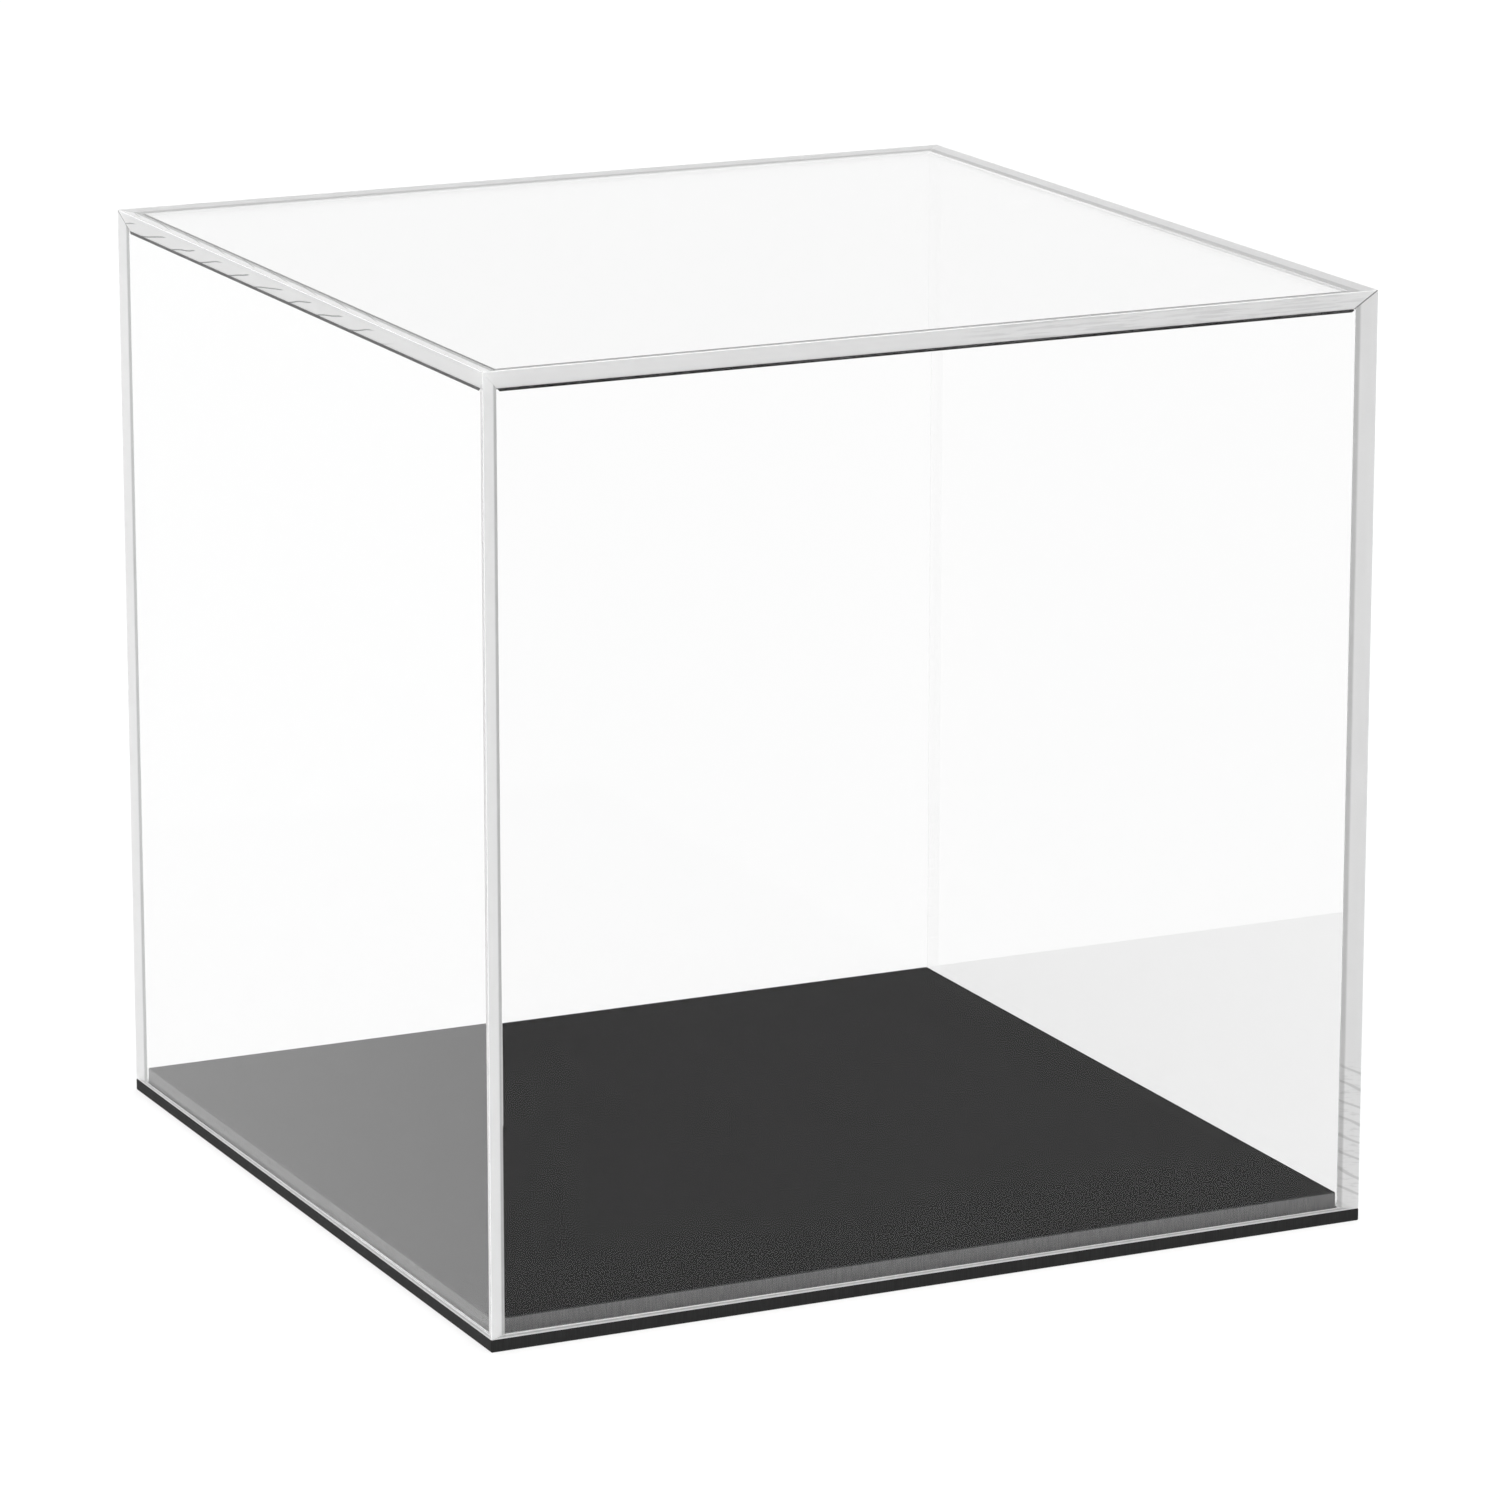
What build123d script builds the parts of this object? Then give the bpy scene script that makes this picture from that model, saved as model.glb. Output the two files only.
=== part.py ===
from build123d import *
import os

# Acrylic display cube. A clear five-sided cover stands on the rim of a square black base plate and
# is held in place by a raised black plinth. The cover's sheets are mitred and bonded along 8 edges.
# Millimetres, +Z up, front towards -Y. The origin is the centre of the base plate's underside.

# Driving dimensions
SIDE = 300.0  # outside width and depth, of the cover and of the base plate alike
HEIGHT = 300.0  # from the underside of the base plate to the top of the cover
WALL = 6.0  # clear sheet of the cover
PLATE = 4.0  # black sheet of the base plate
PLINTH = 5.0  # black sheet of the plinth
PLAY = 0.3  # gap between the plinth's sides and the cover's inner faces
BOND = 0.2  # adhesive in each mitred edge, measured across the joint
CEMENT = 0.1  # cement between the plinth and the base plate
CEMENT_MARGIN = 2.0  # how far the cement stops short of the plinth's sides
ARRIS = 0.4  # polished 45 degree break along the cover's outer edges
BLACK_BREAK = 0.3  # edge break on the black sheets

# Derived places
HALF = SIDE / 2
CUBE_CENTRE = Vector(0, 0, HEIGHT - HALF)
PLINTH_SIDE = SIDE - 2 * (WALL + PLAY)
PLINTH_BOTTOM = PLATE + CEMENT

# The cover's five outer faces, each with its inward normal
INWARD = {
    "left": Vector(1, 0, 0),
    "right": Vector(-1, 0, 0),
    "front": Vector(0, 1, 0),
    "back": Vector(0, -1, 0),
    "top": Vector(0, 0, -1),
}

# The eight mitred edges: the four corners from the front left going round, then the four top edges
CORNERS = [("front", "left"), ("front", "right"), ("back", "right"), ("back", "left")]
TOP_EDGES = [("top", "front"), ("top", "right"), ("top", "back"), ("top", "left")]


def neighbours(*faces):
    """The outer faces that share an edge with every one of these faces."""
    return [name for name, inward in INWARD.items() if all(inward.dot(INWARD[f]) == 0 for f in faces)]


def kept_above(solid, plane):
    """The part of a solid on the side of a plane that its normal points to."""
    return split(solid, bisect_by=plane, keep=Keep.TOP)


def mitre_plane(face, neighbour, shift):
    """The 45 degree plane through the edge of two outer faces, moved by shift into the face's own sheet."""
    edge = CUBE_CENTRE - (INWARD[face] + INWARD[neighbour]) * HALF
    across = INWARD[neighbour] - INWARD[face]
    return Plane(origin=edge + across.normalized() * shift, z_dir=across)


def cover_outside():
    """The cover's outer shape as one block, with its polished arrises."""
    block = Pos(0, 0, PLATE) * Box(SIDE, SIDE, HEIGHT - PLATE, align=(Align.CENTER, Align.CENTER, Align.MIN))
    arrises = block.edges().filter_by(Axis.Z) + block.faces().sort_by(Axis.Z)[-1].edges()
    return chamfer(arrises, ARRIS)


def cover_panel(face):
    """One clear sheet of the cover, mitred along each edge that it shares with another sheet."""
    inward = INWARD[face]
    inner_face = Plane(origin=CUBE_CENTRE - inward * (HALF - WALL), z_dir=-inward)
    panel = kept_above(cover_outside(), inner_face)
    for neighbour in neighbours(face):
        panel = kept_above(panel, mitre_plane(face, neighbour, BOND / 2))
    return panel


def edge_bond(face, neighbour):
    """The film of adhesive in the mitre between two sheets, ending where the next films begin."""
    film = kept_above(cover_outside(), mitre_plane(face, neighbour, -BOND / 2))
    film = kept_above(film, mitre_plane(neighbour, face, -BOND / 2))
    to_inside = INWARD[face] + INWARD[neighbour]
    inner_corner = CUBE_CENTRE - to_inside * (HALF - WALL)
    fillet_depth = BOND / 2
    film = kept_above(film, Plane(origin=inner_corner + to_inside.normalized() * fillet_depth, z_dir=-to_inside))
    for end in neighbours(face, neighbour):
        film = kept_above(film, mitre_plane(face, end, 0))
        film = kept_above(film, mitre_plane(neighbour, end, 0))
    return film


def base_plate():
    """The black sheet that everything stands on, as wide as the cover."""
    sheet = Box(SIDE, SIDE, PLATE, align=(Align.CENTER, Align.CENTER, Align.MIN))
    return chamfer(sheet.edges(), BLACK_BREAK)


def base_plinth():
    """The black sheet bonded on the base plate. It locates the cover and carries the exhibit."""
    sheet = Box(PLINTH_SIDE, PLINTH_SIDE, PLINTH, align=(Align.CENTER, Align.CENTER, Align.MIN))
    broken = sheet.edges() - sheet.faces().sort_by(Axis.Z)[0].edges()
    return Pos(0, 0, PLINTH_BOTTOM) * chamfer(broken, BLACK_BREAK)


def plinth_cement():
    """The cement under the plinth, hidden because it stops short of the plinth's sides."""
    side = PLINTH_SIDE - 2 * CEMENT_MARGIN
    return Pos(0, 0, PLATE) * Box(side, side, CEMENT, align=(Align.CENTER, Align.CENTER, Align.MIN))


def write(shape, node):
    export_step(shape, f"parts/{node}.step")


os.makedirs("parts", exist_ok=True)
write(base_plate(), "base_plate")
write(plinth_cement(), "plinth_cement")
write(base_plinth(), "base_plinth")
for face in INWARD:
    write(cover_panel(face), f"cover_{face}_panel")
for face, neighbour in CORNERS + TOP_EDGES:
    write(edge_bond(face, neighbour), f"bond_{face}_{neighbour}")
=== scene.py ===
from math import cos, radians, sin

import bmesh
import bpy
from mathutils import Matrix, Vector


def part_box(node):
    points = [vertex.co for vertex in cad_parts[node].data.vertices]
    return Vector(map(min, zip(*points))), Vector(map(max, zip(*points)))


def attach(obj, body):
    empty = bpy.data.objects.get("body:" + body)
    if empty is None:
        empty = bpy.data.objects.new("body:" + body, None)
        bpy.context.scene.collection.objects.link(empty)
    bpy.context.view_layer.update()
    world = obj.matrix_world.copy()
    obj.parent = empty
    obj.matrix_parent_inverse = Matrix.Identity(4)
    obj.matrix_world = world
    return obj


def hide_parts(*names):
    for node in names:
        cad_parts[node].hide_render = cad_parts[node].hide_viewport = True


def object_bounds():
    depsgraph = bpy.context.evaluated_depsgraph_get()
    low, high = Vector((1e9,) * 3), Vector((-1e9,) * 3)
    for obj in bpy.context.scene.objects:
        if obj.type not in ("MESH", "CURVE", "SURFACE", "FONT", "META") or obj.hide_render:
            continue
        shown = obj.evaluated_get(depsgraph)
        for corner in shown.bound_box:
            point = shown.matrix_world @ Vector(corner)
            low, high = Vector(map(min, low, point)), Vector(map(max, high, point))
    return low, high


# The looks of an acrylic display cube, in metres, on the frame's own axes: +Z up, front towards -Y.
# A clear five-sided cover of mitred and bonded sheets stands on a black base plate with a plinth.

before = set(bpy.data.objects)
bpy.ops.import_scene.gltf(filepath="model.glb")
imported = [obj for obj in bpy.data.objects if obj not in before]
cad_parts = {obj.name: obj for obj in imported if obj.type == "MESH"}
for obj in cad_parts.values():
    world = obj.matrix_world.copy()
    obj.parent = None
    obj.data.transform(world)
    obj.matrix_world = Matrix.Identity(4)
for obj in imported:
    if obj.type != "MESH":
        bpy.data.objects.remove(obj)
CAD_LOW, CAD_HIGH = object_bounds()

# Sizes that the frame gives
SIDE = CAD_HIGH.x - CAD_LOW.x
HEIGHT = CAD_HIGH.z
HALF = SIDE / 2
PLATE_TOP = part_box("base_plate")[1].z
FRONT_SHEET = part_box("cover_front_panel")
WALL = FRONT_SHEET[1].y - FRONT_SHEET[0].y
CUBE_CENTRE = Vector((0, 0, HEIGHT - HALF))

# Details that the frame leaves plain
BOND = 0.0002  # gap between two mitred sheets, which the adhesive fills
CLEARANCE = 0.00001  # keeps the adhesive's faces off the sheets' faces
ARRIS = 0.0005  # radius of the cover's polished outer edges
FOOT_ARRIS = 0.0005  # radius of the cover's bottom edges
ARRIS_STEPS = 5
FOOT_GAP = 0.00002  # keeps the cover's foot off the plate's top face
BEAD = 0.0011  # radius of the bead of adhesive along the inner corners under the top sheet
BEAD_STEPS = 6

FOOT_PLACE = PLATE_TOP + FOOT_GAP

INWARD = {
    "left": Vector((1, 0, 0)),
    "right": Vector((-1, 0, 0)),
    "front": Vector((0, 1, 0)),
    "back": Vector((0, -1, 0)),
    "top": Vector((0, 0, -1)),
}

# Each bonded edge: its two faces, and the faces at its start and its end (None is the cover's foot)
EDGES = [
    ("front", "left", None, "top"),
    ("front", "right", None, "top"),
    ("back", "right", None, "top"),
    ("back", "left", None, "top"),
    ("top", "front", "left", "right"),
    ("top", "back", "left", "right"),
    ("top", "left", "front", "back"),
    ("top", "right", "front", "back"),
]


# ---------------------------------------------------------------- node helpers


class Nodes:
    """A material's node tree, with short calls for the nodes that the materials share."""

    def __init__(self, name):
        self.material = bpy.data.materials.new(name)
        self.material.use_nodes = True
        self.tree = self.material.node_tree
        self.tree.nodes.clear()
        self.out = self.add("ShaderNodeOutputMaterial")

    def add(self, kind, **settings):
        node = self.tree.nodes.new(kind)
        for key, value in settings.items():
            setattr(node, key, value)
        return node

    def link(self, source, target):
        self.tree.links.new(source, target)

    def give(self, socket, value):
        """Sets a socket to a number or a colour, or links it to an output."""
        if isinstance(value, bpy.types.NodeSocket):
            self.link(value, socket)
        else:
            socket.default_value = value

    def shader(self, kind, **inputs):
        """A shader node, with inputs by name, where _ stands for a space."""
        node = self.add(kind)
        for key, value in inputs.items():
            self.give(node.inputs[key.replace("_", " ")], value)
        return node.outputs[0]

    def surface(self, shader):
        self.link(shader, self.out.inputs["Surface"])
        return self.material

    def coordinates(self, scale=(1, 1, 1), turn=(0, 0, 0)):
        """Object coordinates, in metres, scaled and turned."""
        source = self.add("ShaderNodeTexCoord")
        mapping = self.add("ShaderNodeMapping")
        mapping.inputs["Scale"].default_value = scale
        mapping.inputs["Rotation"].default_value = turn
        self.link(source.outputs["Object"], mapping.inputs["Vector"])
        return mapping.outputs["Vector"]

    def normal_part(self, axis):
        """How much of the surface normal lies along an axis of the object, from -1 to 1."""
        source = self.add("ShaderNodeTexCoord")
        split = self.add("ShaderNodeSeparateXYZ")
        self.link(source.outputs["Normal"], split.inputs["Vector"])
        return split.outputs[axis]

    def attribute(self, name):
        """A number stored on the mesh's points."""
        return self.add("ShaderNodeAttribute", attribute_name=name).outputs["Fac"]

    def noise(self, place, scale, detail=3.0, roughness=0.5):
        node = self.add("ShaderNodeTexNoise")
        node.inputs["Scale"].default_value = scale
        node.inputs["Detail"].default_value = detail
        node.inputs["Roughness"].default_value = roughness
        self.link(place, node.inputs["Vector"])
        return node.outputs["Fac"]

    def ramp(self, value, low, high, out_low=0.0, out_high=1.0):
        """A value mapped smoothly from low..high to out_low..out_high, and held there outside it."""
        node = self.add("ShaderNodeMapRange", interpolation_type="SMOOTHSTEP")
        node.inputs["From Min"].default_value = low
        node.inputs["From Max"].default_value = high
        node.inputs["To Min"].default_value = out_low
        node.inputs["To Max"].default_value = out_high
        self.link(value, node.inputs["Value"])
        return node.outputs["Result"]

    def maths(self, operation, a, b=0.0):
        node = self.add("ShaderNodeMath", operation=operation)
        self.give(node.inputs[0], a)
        self.give(node.inputs[1], b)
        return node.outputs["Value"]

    def times(self, *values):
        product = values[0]
        for value in values[1:]:
            product = self.maths("MULTIPLY", product, value)
        return product

    def blend(self, share, first, second):
        """A number that goes from the first to the second as the share goes from 0 to 1."""
        node = self.add("ShaderNodeMix", data_type="FLOAT")
        self.give(node.inputs["Factor"], share)
        self.give(node.inputs["A"], first)
        self.give(node.inputs["B"], second)
        return node.outputs["Result"]

    def vector(self, x, y, z=0.0):
        node = self.add("ShaderNodeCombineXYZ")
        for socket, value in zip(node.inputs, (x, y, z)):
            self.give(socket, value)
        return node.outputs["Vector"]

    def grey(self, level):
        """A grey of a level that varies over the surface."""
        node = self.add("ShaderNodeCombineColor")
        for socket in node.inputs:
            self.link(level, socket)
        return node.outputs["Color"]

    def bump(self, height, strength, distance):
        node = self.add("ShaderNodeBump")
        node.inputs["Strength"].default_value = strength
        node.inputs["Distance"].default_value = distance
        self.link(height, node.inputs["Height"])
        return node.outputs["Normal"]


def grey(value):
    return (value, value, value, 1)


# ---------------------------------------------------------------- clear materials

ACRYLIC_TINT = 0.957  # what is left of light that goes through a sheet
ACRYLIC_INDEX = 1.49
ACRYLIC_FACING_GLOSS = 0.1  # tints the reflection of a sheet that is seen face on

# How pale the cover's foot is along its outer side, its middle and its inner side
FOOT_OUTER, FOOT_MIDDLE, FOOT_INNER = 0.88, 0.62, 1.0

# Bubbles in the adhesive: metres from one to the next, metres that each leans along the film from
# the outside to the inside, and the share of the spacing that it takes up
DASHES = dict(pitch=0.025, lean=0.036, width=0.07)
COMBS = dict(pitch=0.0057, lean=0.003, width=0.12)

# What is left of the adhesive's shade inside each kind of mark
DASH_SHADE = 0.3
COMB_SHADE = 0.78
STREAK_SHADE = 0.88


def clear_acrylic():
    """Polished clear sheet, with wiping smudges and hairlines that show in its reflections."""
    n = Nodes("clear_acrylic")
    place = n.coordinates()
    smudge = n.ramp(n.noise(place, 18, 4, 0.6), 0.55, 0.8)
    hairlines = n.noise(n.coordinates((900, 900, 24), (0.5, 0.3, 0.2)), 1, 2)
    hairline = n.ramp(hairlines, 0.72, 0.78)
    worn = n.maths("MAXIMUM", smudge, hairline)
    wave = n.noise(place, 9, 1)
    return n.surface(n.shader(
        "ShaderNodeBsdfPrincipled",
        Base_Color=grey(ACRYLIC_TINT),
        Roughness=n.ramp(worn, 0, 1, 0.0, 0.012),
        IOR=ACRYLIC_INDEX,
        Transmission_Weight=1.0,
        Specular_Tint=grey(ACRYLIC_FACING_GLOSS),
        Normal=n.bump(wave, 0.05, 0.0004),
    ))


def wetted_face():
    """A face in full contact with the adhesive, which lets light through unbent."""
    n = Nodes("wetted_face")
    return n.surface(n.shader("ShaderNodeBsdfTransparent"))


def machined_foot():
    """The cover's satin bottom edge: palest along its inner side and greyest in the middle, with
    fine cutter lines."""
    n = Nodes("machined_foot")
    split = n.add("ShaderNodeSeparateXYZ")
    n.link(n.coordinates(), split.inputs["Vector"])
    reach = n.maths("MAXIMUM", *[n.maths("ABSOLUTE", split.outputs[axis]) for axis in "XY"])
    depth = n.maths("DIVIDE", n.maths("SUBTRACT", HALF, reach), WALL)
    outer = n.ramp(depth, 0.25, 0.4, FOOT_OUTER, FOOT_MIDDLE)
    inner = n.ramp(depth, 0.68, 0.78)
    lines = n.noise(n.coordinates((700, 700, 40), (0, 0, 0.8)), 1, 3)
    shade = n.times(n.blend(inner, outer, FOOT_INNER), n.ramp(lines, 0.3, 0.7, 0.93, 1.0))
    return n.surface(n.shader(
        "ShaderNodeBsdfPrincipled",
        Base_Color=n.grey(shade),
        Roughness=0.5,
        Specular_IOR_Level=0.0,
        Normal=n.bump(lines, 0.2, 0.0001),
    ))


def slanted_lines(n, along, across, pitch, lean, width):
    """Repeated thin lines over a film, one for each pitch along it. Each moves by lean along the
    film on its way from the outside to the inside, and takes up a share of the pitch as its width."""
    place = n.maths("SUBTRACT", along, n.maths("MULTIPLY", across, lean))
    wander = n.noise(n.vector(n.maths("MULTIPLY", along, 0.9 / pitch), 0.0, pitch), 1, 1)
    steps = n.maths("ADD", n.maths("DIVIDE", place, pitch), n.maths("MULTIPLY", wander, 0.6))
    phase = n.maths("FRACT", steps)
    return n.times(n.ramp(phase, 0.0, width / 2), n.ramp(phase, width, width * 2, 1, 0))


def border_shade(n, across, rim, upper_rim_start):
    """The darker border along a film's inner side. Under the top sheet the film's upper side has a
    border that starts at upper_rim_start, and its lower side has hardly any."""
    if upper_rim_start is None:
        return n.ramp(across, 0.7, 0.82, 1.0, rim)
    upper_side = n.ramp(n.normal_part("Z"), -0.1, 0.1)
    upper_border = n.ramp(across, upper_rim_start, upper_rim_start + 0.1, 1.0, rim)
    lower_border = n.ramp(across, 0.9, 0.98, 1.0, 0.9)
    return n.blend(upper_side, lower_border, upper_border)


def stretch(n, along, low, high, fade):
    """One between two places along a film and nothing beyond them."""
    return n.times(n.ramp(along, low - fade, low + fade), n.ramp(along, high - fade, high + fade, 1, 0))


def dash_mark(n, along, across, span):
    """Long slanted bubbles over the inner part of a film."""
    lines = slanted_lines(n, along, across, **DASHES)
    return n.times(lines, n.ramp(across, 0.35, 0.5), stretch(n, along, *span, 0.02))


def comb_mark(n, along, across, span, seed):
    """Close thin bubbles across the whole film, with a finer texture between them."""
    lines = slanted_lines(n, along, across, **COMBS)
    place = n.vector(n.maths("MULTIPLY", along, 1400), n.maths("MULTIPLY", across, 2), seed)
    fine = n.ramp(n.noise(place, 1, 3), 0.45, 0.7, 0, 0.55)
    return n.times(n.maths("MAXIMUM", lines, fine), stretch(n, along, *span, 0.004))


def streak_mark(n, along, across, span, seed):
    """Frosty patches drawn out along a film."""
    place = n.vector(n.maths("MULTIPLY", along, 60), n.maths("MULTIPLY", across, 6), seed)
    patches = n.ramp(n.noise(place, 1, 4, 0.6), 0.42, 0.62)
    return n.times(patches, stretch(n, along, *span, 0.008))


def adhesive(name, shade, haze=1.0, rim=0.75, upper_rim_start=None, dashes=None, combs=None,
             streaks=None, dark_end=0.0):
    """A film of set adhesive. The shade runs from the film's start to its end, haze is how much of
    the film is not clear, and rim is what is left of the shade in the border. Dashes, combs and
    streaks each lie between two places along the film, in metres. The film's slanted end can be
    darker by dark_end."""
    n = Nodes(name)
    along = n.attribute("along")
    across = n.attribute("across")
    seed = float(sum(ord(letter) for letter in name) % 50)

    tone = n.ramp(along, 0.1 * HEIGHT, 0.9 * HEIGHT, *shade)
    cloud = n.noise(n.vector(n.maths("MULTIPLY", along, 60), across, seed), 1, 3)
    border = border_shade(n, across, rim, upper_rim_start)
    level = n.times(tone, border, n.ramp(cloud, 0.3, 0.7, 0.985, 1.0))
    if dashes:
        level = n.times(level, n.ramp(dash_mark(n, along, across, dashes), 0, 1, 1, DASH_SHADE))
    if combs:
        level = n.times(level, n.ramp(comb_mark(n, along, across, combs, seed), 0, 1, 1, COMB_SHADE))
    if streaks:
        level = n.times(level, n.ramp(streak_mark(n, along, across, streaks, seed), 0, 1, 1, STREAK_SHADE))
    if dark_end:
        level = n.times(level, n.ramp(n.attribute("end_gap"), 0.0003, 0.0008, 1 - dark_end, 1))

    body = n.shader(
        "ShaderNodeBsdfPrincipled",
        Base_Color=n.grey(level),
        Roughness=0.6,
        Specular_IOR_Level=0.0,
    )
    if haze == 1.0:
        return n.surface(body)
    mix = n.add("ShaderNodeMixShader")
    mix.inputs["Fac"].default_value = haze
    n.link(n.shader("ShaderNodeBsdfTransparent"), mix.inputs[1])
    n.link(body, mix.inputs[2])
    return n.surface(mix.outputs["Shader"])


def bead_painted_reflection():
    """The bead of adhesive under a near top edge, coloured near-black as a painted reflection of the black
    base, which shows as a thin dark line.
    """
    n = Nodes("bead_painted_reflection")
    cloud = n.noise(n.coordinates(), 90, 3)
    return n.surface(n.shader(
        "ShaderNodeBsdfPrincipled",
        Base_Color=n.grey(n.ramp(cloud, 0.3, 0.7, 0.02, 0.05)),
        Roughness=n.ramp(cloud, 0.3, 0.7, 0.15, 0.3),
        Specular_IOR_Level=0.2,
    ))


# ---------------------------------------------------------------- black materials


def black_acrylic(name, shine, edge_shade, edge_rough):
    """Black sheet: a polished top with fine scratches and dust, and sawn sides of their own shade."""
    n = Nodes(name)
    place = n.coordinates()
    side = n.ramp(n.maths("ABSOLUTE", n.normal_part("Z")), 0.5, 0.8, 1, 0)
    dust = n.ramp(n.noise(place, 900, 2, 0.7), 0.66, 0.8)
    scratch = n.ramp(n.noise(n.coordinates((1400, 30, 1), (0, 0, 0.6)), 1, 2), 0.7, 0.76)
    marks = n.times(n.maths("MAXIMUM", dust, scratch), n.ramp(n.noise(place, 14, 2), 0.4, 0.7))
    saw = n.noise(n.coordinates((2400, 2400, 160)), 1, 3)
    top_shade = n.ramp(marks, 0, 1, 0.017, 0.027)
    side_shade = n.ramp(saw, 0.3, 0.7, edge_shade * 0.85, edge_shade * 1.15)
    return n.surface(n.shader(
        "ShaderNodeBsdfPrincipled",
        Base_Color=n.grey(n.blend(side, top_shade, side_shade)),
        Roughness=n.ramp(side, 0, 1, 0.3, edge_rough),
        Specular_IOR_Level=0.0,
        Coat_Weight=shine,
        Coat_Roughness=0.02,
        Normal=n.bump(n.times(saw, side), 0.15, 0.0001),
    ))


def cement():
    """The black cement under the plinth."""
    n = Nodes("cement")
    level = n.ramp(n.noise(n.coordinates(), 120, 4), 0.3, 0.7, 0.02, 0.06)
    return n.surface(n.shader("ShaderNodeBsdfPrincipled", Base_Color=n.grey(level), Roughness=0.7))


# ---------------------------------------------------------------- cutting


def neighbours(face):
    """The outer faces that share an edge with this one."""
    return [name for name, inward in INWARD.items() if inward.dot(INWARD[face]) == 0]


def mitre_plane(face, neighbour, shift):
    """The 45 degree plane through the edge of two outer faces, moved by shift into the face's sheet."""
    normal = (INWARD[neighbour] - INWARD[face]).normalized()
    edge = CUBE_CENTRE - (INWARD[face] + INWARD[neighbour]) * HALF
    return edge + normal * shift, normal


def bisect(bm, point, normal, cut_away):
    return bmesh.ops.bisect_plane(
        bm,
        geom=bm.verts[:] + bm.edges[:] + bm.faces[:],
        dist=1e-7,
        plane_co=point,
        plane_no=normal,
        clear_inner=cut_away,
    )


def keep_above(bm, point, normal, slot):
    """Cuts off what lies behind a plane and closes the cut with a face of the given slot."""
    cut = bisect(bm, point, normal, True)
    rim = [item for item in cut["geom_cut"] if isinstance(item, bmesh.types.BMEdge)]
    for face in bmesh.ops.contextual_create(bm, geom=rim)["faces"]:
        face.material_index = slot


def corner_ranks(face):
    return sorted(vert.index for vert in face.verts)


def put_in_order(bm):
    """Orders points and faces by place, so that every run writes the same mesh."""
    for rank, vert in enumerate(sorted(bm.verts, key=lambda vert: tuple(vert.co))):
        vert.index = rank
    bm.verts.sort()
    for rank, face in enumerate(sorted(bm.faces, key=corner_ranks)):
        face.index = rank
    bm.faces.sort()


def new_piece(bm, name, materials):
    bmesh.ops.dissolve_degenerate(bm, dist=CLEARANCE / 4, edges=bm.edges[:])
    bmesh.ops.recalc_face_normals(bm, faces=bm.faces[:])
    put_in_order(bm)
    mesh = bpy.data.meshes.new(name)
    bm.to_mesh(mesh)
    bm.free()
    for material in materials:
        mesh.materials.append(material)
    piece = bpy.data.objects.new(name, mesh)
    bpy.context.scene.collection.objects.link(piece)
    return piece


# ---------------------------------------------------------------- the cover's sheets

CLEAR, WETTED, FOOT = 0, 1, 2


def cover_block():
    """The cover's outer shape as one block, with rounded upright and top edges."""
    bm = bmesh.new()
    bmesh.ops.create_cube(bm, size=1)
    for vert in bm.verts:
        height = FOOT_PLACE + (vert.co.z + 0.5) * (HEIGHT - FOOT_PLACE)
        vert.co = Vector((vert.co.x * SIDE, vert.co.y * SIDE, height))
    sharp = [edge for edge in bm.edges if max(v.co.z for v in edge.verts) > FOOT_PLACE + ARRIS]
    bmesh.ops.bevel(bm, geom=sharp, offset=ARRIS, segments=ARRIS_STEPS, profile=0.5, affect="EDGES")
    return bm


def round_foot(bm):
    """Rounds the two long bottom edges of an upright sheet."""
    foot = [
        edge for edge in bm.edges
        if all(abs(vert.co.z - FOOT_PLACE) < CLEARANCE for vert in edge.verts) and edge.calc_length() > HALF
    ]
    bmesh.ops.bevel(bm, geom=foot, offset=FOOT_ARRIS, segments=ARRIS_STEPS, profile=0.5, affect="EDGES")


def mark_foot(bm):
    """Gives the flat bottom of an upright sheet its satin material."""
    for polygon in bm.faces:
        if all(abs(vert.co.z - FOOT_PLACE) < CLEARANCE for vert in polygon.verts):
            polygon.material_index = FOOT


def wet_under_beads(bm, face):
    """Marks the strips of a sheet's inner face that the beads of adhesive cover."""
    inner = CUBE_CENTRE - INWARD[face] * (HALF - WALL)
    beaded = neighbours("top") if face == "top" else ["top"]
    for neighbour in beaded:
        inward = INWARD[neighbour]
        strip_edge = CUBE_CENTRE - inward * (HALF - WALL - BEAD)
        bisect(bm, strip_edge, inward, False)
        for polygon in bm.faces:
            centre = polygon.calc_center_median()
            on_inner_face = abs((centre - inner).dot(INWARD[face])) < CLEARANCE
            if on_inner_face and (centre - strip_edge).dot(inward) < 0:
                polygon.material_index = WETTED


def sheet(face, materials):
    """One clear sheet of the cover, mitred where it meets its neighbours."""
    inward = INWARD[face]
    bm = cover_block()
    keep_above(bm, CUBE_CENTRE - inward * (HALF - WALL), -inward, CLEAR)
    for neighbour in neighbours(face):
        keep_above(bm, *mitre_plane(face, neighbour, BOND / 2), WETTED)
    if face != "top":
        round_foot(bm)
        mark_foot(bm)
    for polygon in bm.faces:
        narrow = min(edge.calc_length() for edge in polygon.edges) < ARRIS
        polygon.smooth = narrow and polygon.material_index == CLEAR
    wet_under_beads(bm, face)
    piece = new_piece(bm, f"{face}_sheet", materials)
    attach(piece, "cover")
    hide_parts(f"cover_{face}_panel")


# ---------------------------------------------------------------- the adhesive in the mitres

FILM, CONTACT, BEAD_FACE = 0, 1, 2


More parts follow.
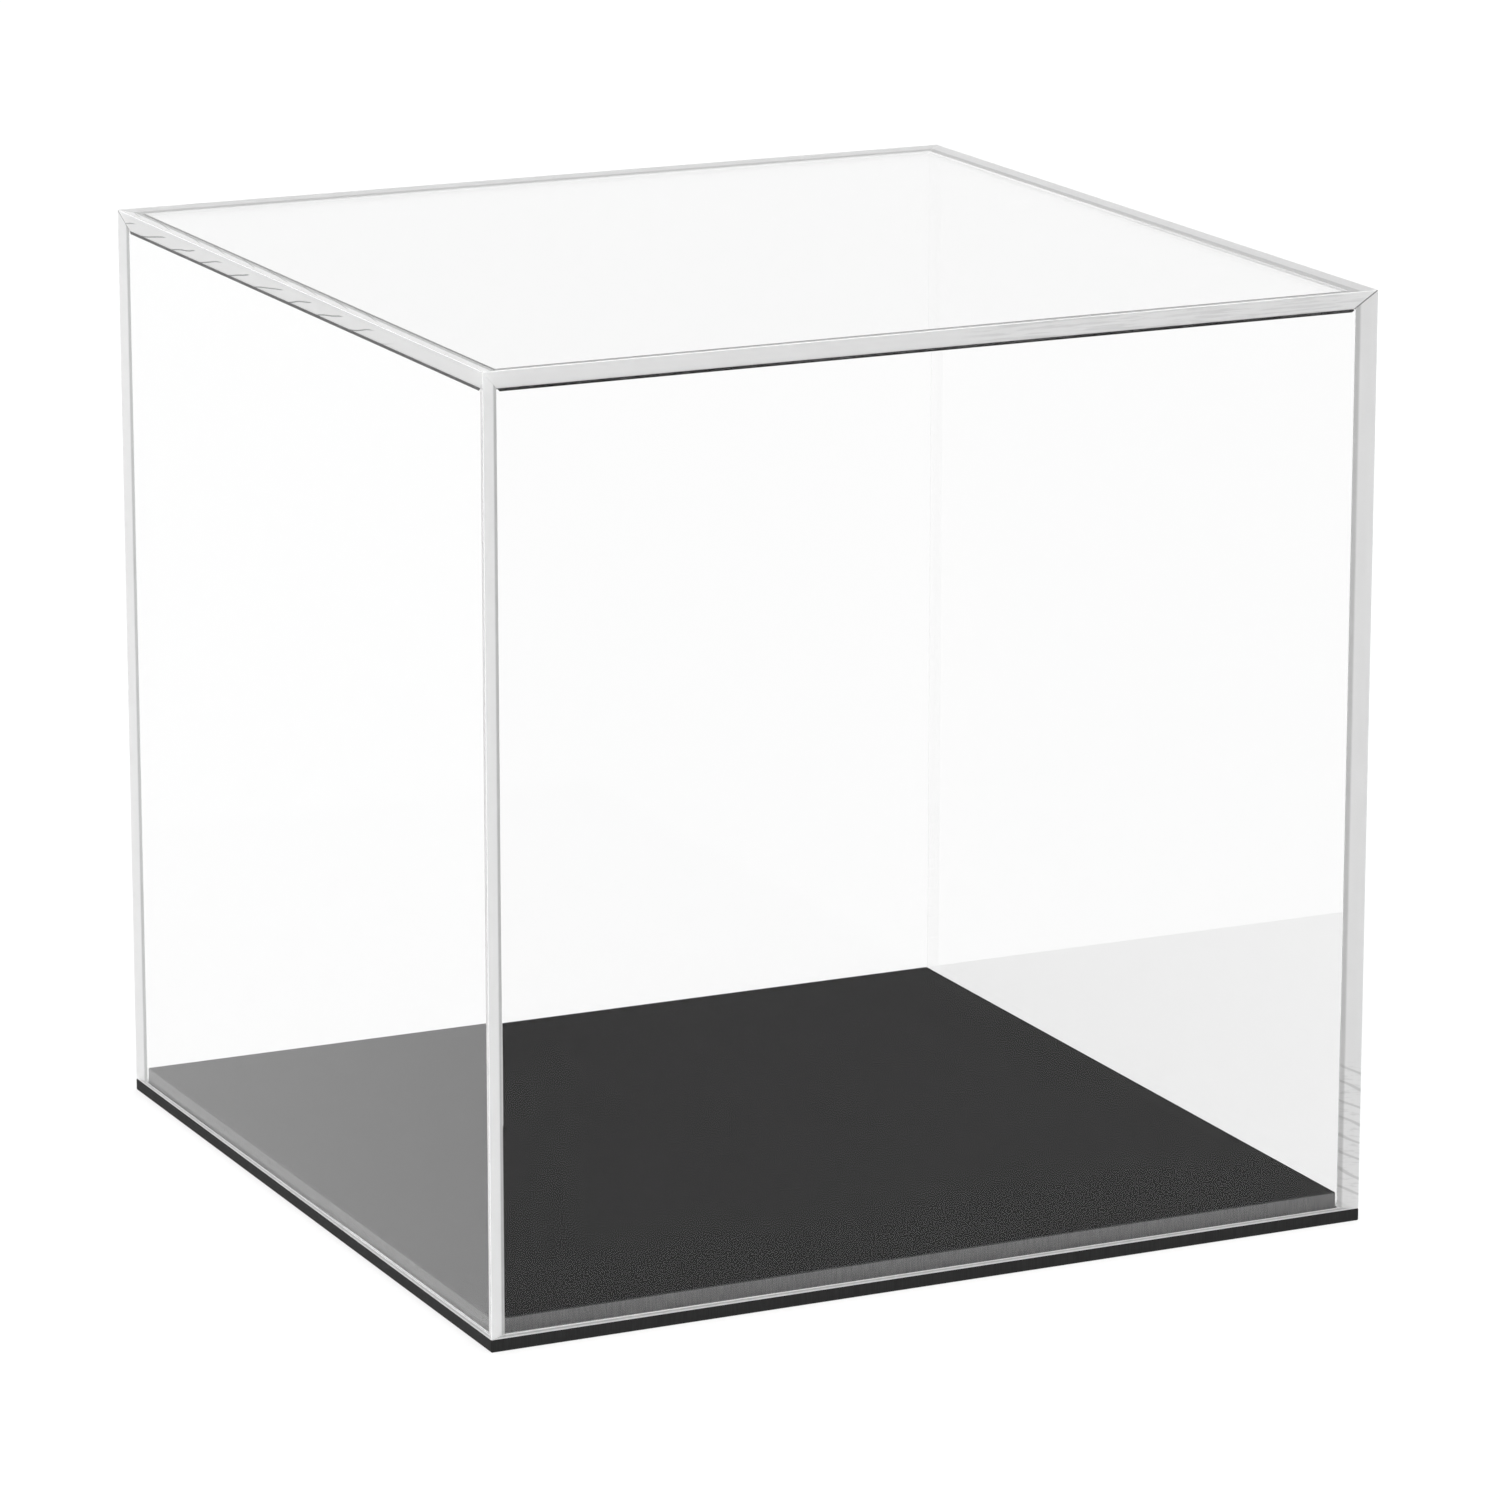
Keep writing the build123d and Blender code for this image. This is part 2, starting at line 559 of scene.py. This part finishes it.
def film_profile(has_bead):
    """The film's cross-section: points as depths below the two outer faces, each with the slot of
    the side that starts there. A bead rounds the inner corner."""
    half = (BOND / 2 - CLEARANCE) * sin(radians(45))
    outer = ARRIS * (1 - sin(radians(45))) + 2 * CLEARANCE
    if not has_bead:
        depth = WALL - CLEARANCE
        corners = [(outer + half, outer - half), (outer - half, outer + half)]
        corners += [(depth - 2 * half, depth), (depth, depth - 2 * half)]
        return [(corner, FILM) for corner in corners]
    near = WALL + CLEARANCE
    points = [((outer + half, outer - half), FILM), ((outer - half, outer + half), FILM)]
    points += [((near, near + 2 * half), CONTACT)]
    for step in range(BEAD_STEPS + 1):
        angle = radians(90 * step / BEAD_STEPS)
        depths = (near + BEAD * (1 - cos(angle)), near + BEAD * (1 - sin(angle)))
        points.append((depths, BEAD_FACE if step < BEAD_STEPS else CONTACT))
    points += [((near + 2 * half, near), FILM)]
    return points


def film(face, neighbour, start, end, materials):
    """The adhesive between two mitred sheets. Under the top sheet it has a bead along the corner."""
    profile = film_profile(has_bead=face == "top")
    axis = Vector((0, 0, 1)) if start is None else INWARD[start]
    corner = CUBE_CENTRE - (INWARD[face] + INWARD[neighbour] + axis) * HALF
    if start is None:
        corner.z = FOOT_PLACE
    length = HEIGHT - FOOT_PLACE if start is None else SIDE

    bm = bmesh.new()
    rings = []
    for along in (0, length):
        ring = []
        for (depth, side_depth), _ in profile:
            place = corner + axis * along + INWARD[face] * depth + INWARD[neighbour] * side_depth
            ring.append(bm.verts.new(place))
        rings.append(ring)
    for index, (_, slot) in enumerate(profile):
        after = (index + 1) % len(profile)
        polygon = bm.faces.new((rings[0][index], rings[0][after], rings[1][after], rings[1][index]))
        polygon.material_index = slot
        polygon.smooth = slot == BEAD_FACE
    for ring in rings:
        bm.faces.new(ring).material_index = CONTACT
    for other in (start, end):
        if other is not None:
            keep_above(bm, *mitre_plane(face, other, CLEARANCE), CONTACT)
            keep_above(bm, *mitre_plane(neighbour, other, CLEARANCE), CONTACT)

    piece = new_piece(bm, f"film_{face}_{neighbour}", materials)
    store_places(piece, corner, axis, face, end)
    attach(piece, "cover")
    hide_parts(f"bond_{face}_{neighbour}")


def store_places(piece, corner, axis, face, end):
    """Stores where each point lies on the film, for its material: metres along it, how far across
    the wall from 0 outside to 1 inside, and metres from its slanted end."""
    depths = [(vert.co - corner).dot(INWARD[face]) for vert in piece.data.vertices]
    places = {
        "along": [(vert.co - corner).dot(axis) for vert in piece.data.vertices],
        "across": [depth / WALL for depth in depths],
    }
    outer = CUBE_CENTRE - INWARD[end] * HALF
    places["end_gap"] = [
        (vert.co - outer).dot(INWARD[end]) - depth
        for vert, depth in zip(piece.data.vertices, depths)
    ]
    for name, values in places.items():
        piece.data.attributes.new(name, "FLOAT", "POINT").data.foreach_set("value", values)


# ---------------------------------------------------------------- floor, light and camera


FLOOR_REACH = 20  # half the floor's side
FLOOR_SHADE = 0.25
FLOOR_GLOW = 0.7

# The sky's brightness by height, from the horizon at 0 to straight up at 1
SKY = [(0.0, 1.0), (0.22, 0.86), (0.4, 1.0), (0.9, 1.75)]
SKY_STRENGTH = 1.05

CAMERA_LENS = 172.8  # millimetres, on a sensor 36 wide
CAMERA_PLACE = Vector((-0.9609, -2.0346, 0.7083))
CAMERA_AZIMUTH = radians(-25.45)
CAMERA_ELEVATION = radians(14.27)


def floor():
    """A plain pale table, lit from within as well as from above, that reaches past every view."""
    bm = bmesh.new()
    bmesh.ops.create_grid(bm, x_segments=1, y_segments=1, size=FLOOR_REACH)
    n = Nodes("floor_white")
    plane = new_piece(bm, "floor", [n.surface(n.shader(
        "ShaderNodeBsdfPrincipled",
        Base_Color=grey(FLOOR_SHADE),
        Roughness=0.9,
        Specular_IOR_Level=0.0,
        Emission_Color=grey(1.0),
        Emission_Strength=FLOOR_GLOW,
    ))])


def studio():
    """Soft light from all round, weakest a little above the horizon and strongest overhead."""
    light = bpy.data.worlds.new("studio")
    light.use_nodes = True
    tree = light.node_tree
    background = tree.nodes["Background"]
    direction = tree.nodes.new("ShaderNodeTexCoord")
    split = tree.nodes.new("ShaderNodeSeparateXYZ")
    ramp = tree.nodes.new("ShaderNodeValToRGB")
    tree.links.new(direction.outputs["Generated"], split.inputs["Vector"])
    tree.links.new(split.outputs["Z"], ramp.inputs["Fac"])
    tree.links.new(ramp.outputs["Color"], background.inputs["Color"])
    stops = ramp.color_ramp.elements
    for stop, (height, level) in zip(stops, (SKY[0], SKY[-1])):
        stop.position = height
        stop.color = grey(level)
    for height, level in SKY[1:-1]:
        stops.new(height).color = grey(level)
    background.inputs["Strength"].default_value = SKY_STRENGTH
    bpy.context.scene.world = light


def camera():
    data = bpy.data.cameras.new("camera")
    data.sensor_width = 36
    data.lens = CAMERA_LENS
    data.clip_start = 0.05
    data.clip_end = 100
    cam = bpy.data.objects.new("camera", data)
    level = Vector((sin(CAMERA_AZIMUTH), -cos(CAMERA_AZIMUTH), 0)) * cos(CAMERA_ELEVATION)
    back = level + Vector((0, 0, sin(CAMERA_ELEVATION)))
    cam.location = CAMERA_PLACE
    cam.rotation_mode = "QUATERNION"
    cam.rotation_quaternion = (-back).to_track_quat("-Z", "Y")
    bpy.context.scene.collection.objects.link(cam)
    bpy.context.scene.camera = cam


def light_paths():
    """Lets light that the sheets guide bounce until it leaves, and keeps reflections sharp."""
    scene = bpy.context.scene
    scene.view_settings.view_transform = "Standard"
    scene.cycles.max_bounces = 128
    scene.cycles.transmission_bounces = 128
    scene.cycles.glossy_bounces = 128
    scene.cycles.diffuse_bounces = 32
    scene.cycles.transparent_max_bounces = 64
    scene.cycles.blur_glossy = 0


# ---------------------------------------------------------------- the object

FILM_LOOKS = {
    ("front", "left"): dict(shade=(1.0, 0.985), rim=0.62),
    ("front", "right"): dict(shade=(0.91, 0.91), rim=0.7, combs=(0.002, 0.048)),
    ("back", "right"): dict(shade=(0.99, 0.99), haze=0.15),
    ("back", "left"): dict(shade=(1.0, 1.0), rim=0.6),
    ("top", "front"): dict(
        shade=(1.0, 0.99), rim=0.4, upper_rim_start=0.42, streaks=(0.16, 0.3), dark_end=0.8,
    ),
    ("top", "back"): dict(shade=(0.78, 0.78), haze=0.8, rim=0.6, upper_rim_start=0.62),
    ("top", "left"): dict(
        shade=(0.99, 1.0), rim=0.5, upper_rim_start=0.62, dashes=(0.08, 0.3), dark_end=0.8,
    ),
    ("top", "right"): dict(shade=(0.78, 0.78), haze=0.8, rim=0.6, upper_rim_start=0.62),
}
# Only the two near top edges get the bead with the painted reflection of the black base; the far beads stay
# clear acrylic
PAINTED_REFLECTION_BEADS = (("top", "front"), ("top", "left"))

camera()
studio()
floor()
light_paths()

acrylic = clear_acrylic()
wetted = wetted_face()
foot = machined_foot()
dark = bead_painted_reflection()
for face in INWARD:
    sheet(face, [acrylic, wetted, foot])
for face, neighbour, start, end in EDGES:
    look = adhesive(f"adhesive_{face}_{neighbour}", **FILM_LOOKS[face, neighbour])
    bead = dark if (face, neighbour) in PAINTED_REFLECTION_BEADS else acrylic
    film(face, neighbour, start, end, [look, wetted, bead])

BLACK_LOOKS = {
    "base_plate": black_acrylic("plate_black", 0.15, 0.02, 0.3),
    "base_plinth": black_acrylic("plinth_black", 0.05, 0.15, 0.35),
    "plinth_cement": cement(),
}
for node, look in BLACK_LOOKS.items():
    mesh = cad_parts[node].data
    mesh.materials.clear()
    mesh.materials.append(look)
